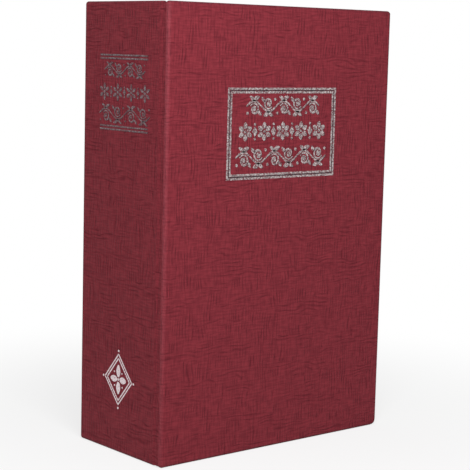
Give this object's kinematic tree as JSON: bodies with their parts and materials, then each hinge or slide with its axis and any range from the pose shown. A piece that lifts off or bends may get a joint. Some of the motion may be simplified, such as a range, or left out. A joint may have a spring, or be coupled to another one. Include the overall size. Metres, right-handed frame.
{
  "type": "book diversion safe",
  "caption": "Lockable steel cash box hidden in a false hardback book, with a swinging front cover, a hinged steel lid and a cam lock.",
  "frame": {"origin": "middle of the closed book's foot, on the surface that it stands on", "axes": "+X from the spine to the fore-edge, +Y from the front cover to the back cover, +Z from the foot to the head"},
  "size_m": [0.119, 0.0556, 0.18],
  "materials": {
    "cover_paper": "burgundy embossed binding paper with silver foil, satin",
    "grey_board": "bare grey board",
    "lining_paper": "burgundy endpaper, matt",
    "page_plastic": "moulded, ribbed like page edges",
    "black_steel": "black powder coat, fine texture",
    "zinc_steel": "zinc plated",
    "nickel": "nickel plated, polished",
    "brass": "stamped, bare"
  },
  "bodies": {
    "case": {"spine_board": "grey_board", "back_cover_board": "grey_board", "spine_and_back_wrap": "cover_paper", "spine_lining": "lining_paper", "back_lining": "lining_paper", "page_block": "page_plastic", "steel_tray": "black_steel", "tray_hinge_leaf": "black_steel", "hinge_pin": "zinc_steel", "tray_screw_1": "zinc_steel", "tray_screw_2": "zinc_steel", "tray_screw_3": "zinc_steel", "tray_screw_4": "zinc_steel"},
    "front_cover": {"front_cover_board": "grey_board", "front_cover_wrap": "cover_paper", "front_lining": "lining_paper"},
    "lid": {"lid_panel": "black_steel", "lock_housing": "nickel", "lock_washer": "zinc_steel", "lock_nut": "zinc_steel"},
    "lock_core": {"lock_plug": "nickel", "lock_wafer_1": "brass", "lock_wafer_2": "brass", "lock_wafer_3": "brass", "lock_wafer_4": "brass", "lock_cam": "zinc_steel", "cam_washer": "zinc_steel", "cam_screw": "zinc_steel"}
  },
  "joints": [
    {"name": "cover_hinge", "type": "hinge", "parent": "case", "child": "front_cover", "pos_m": [-0.0595, -0.02405, 0.09], "axis": [0, 0, -1], "range_deg": [0, 180]},
    {"name": "lid_hinge", "type": "hinge", "parent": "case", "child": "lid", "pos_m": [-0.0464, -0.0206, 0.09], "axis": [0, 0, -1], "range_deg": [0, 105]},
    {"name": "lock_turn", "type": "hinge", "parent": "lid", "child": "lock_core", "pos_m": [0.0288, -0.0145, 0.09], "axis": [0, 1, 0], "range_deg": [0, 90]}
  ],
  "couplings": [
    {"joint": "lid_hinge", "follows": "cover_hinge", "ratio": 0.58333}
  ]
}
